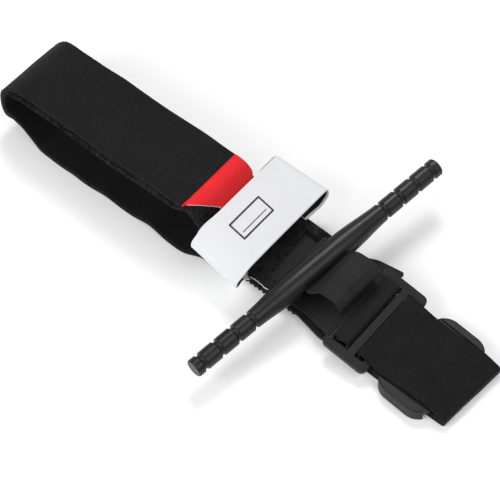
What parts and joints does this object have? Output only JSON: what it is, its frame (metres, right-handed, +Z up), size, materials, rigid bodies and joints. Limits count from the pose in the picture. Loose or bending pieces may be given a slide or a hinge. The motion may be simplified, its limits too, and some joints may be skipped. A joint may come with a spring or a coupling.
{
  "type": "windlass tourniquet",
  "caption": "Flat hook-and-loop band closed into a loop, with a slotted rod on a ribbon, a friction buckle, a clip and a white writing strap.",
  "frame": {"origin": "bottom centre of the bounding box, on the surface that the tourniquet lies on", "axes": "+X along the band from the open loop to the flat fold, +Y across the band along the rod, +Z up from the surface"},
  "size_m": [0.2644, 0.1516, 0.0365],
  "materials": {
    "loop_pile": "woven loop pile, napped, matt",
    "band_fabric": "flat woven, matt",
    "ribbon_black": "tight woven nylon ribbon, slight gloss",
    "webbing_black": "smooth nylon webbing",
    "red_fabric": "smooth woven polyester",
    "white_fabric": "smooth woven writing surface",
    "hook_black": "hook tape, matt",
    "thread_black": "bonded nylon thread",
    "thread_white": "bonded nylon thread",
    "plate_plastic": "moulded, fine grain",
    "rod_plastic": "moulded, satin",
    "buckle_plastic": "moulded, satin"
  },
  "bodies": {
    "base": {"tail_band": "loop_pile", "main_band": "band_fabric", "inner_ribbon": "ribbon_black", "red_tip": "red_fabric", "tip_stitching": "thread_black", "stabilization_plate": "plate_plastic", "base_web": "webbing_black", "sleeve_cover": "loop_pile", "tension_ribbon": "ribbon_black", "base_stitching": "thread_black", "slit_stitching": "thread_black", "buckle_loop": "webbing_black", "loop_stitching": "thread_black", "windlass_clip": "buckle_plastic", "clip_bartacks": "thread_black", "strap_root": "white_fabric", "strap_stitching": "thread_white"},
    "windlass": {"windlass_rod": "rod_plastic"},
    "strap": {"writing_strap": "white_fabric", "strap_lining": "hook_black"},
    "buckle": {"friction_buckle": "buckle_plastic", "band_turn": "loop_pile"}
  },
  "joints": [
    {"name": "windlass_turn", "type": "hinge", "parent": "base", "child": "windlass", "pos_m": [0.0417, 0, 0.01809], "axis": [0, -0.061, 0.9981], "range_deg": [-17, 32], "deforming": ["tension_ribbon"]},
    {"name": "strap_open", "type": "hinge", "parent": "base", "child": "strap", "pos_m": [0.00408, -0.02725, 0.01702], "axis": [0.9613, 0, -0.2756], "range_deg": [0, 110]},
    {"name": "buckle_swing", "type": "hinge", "parent": "base", "child": "buckle", "pos_m": [0.067, -0.00203, 0.01025], "axis": [0, -0.9981, -0.061], "range_deg": [0, 20]}
  ]
}
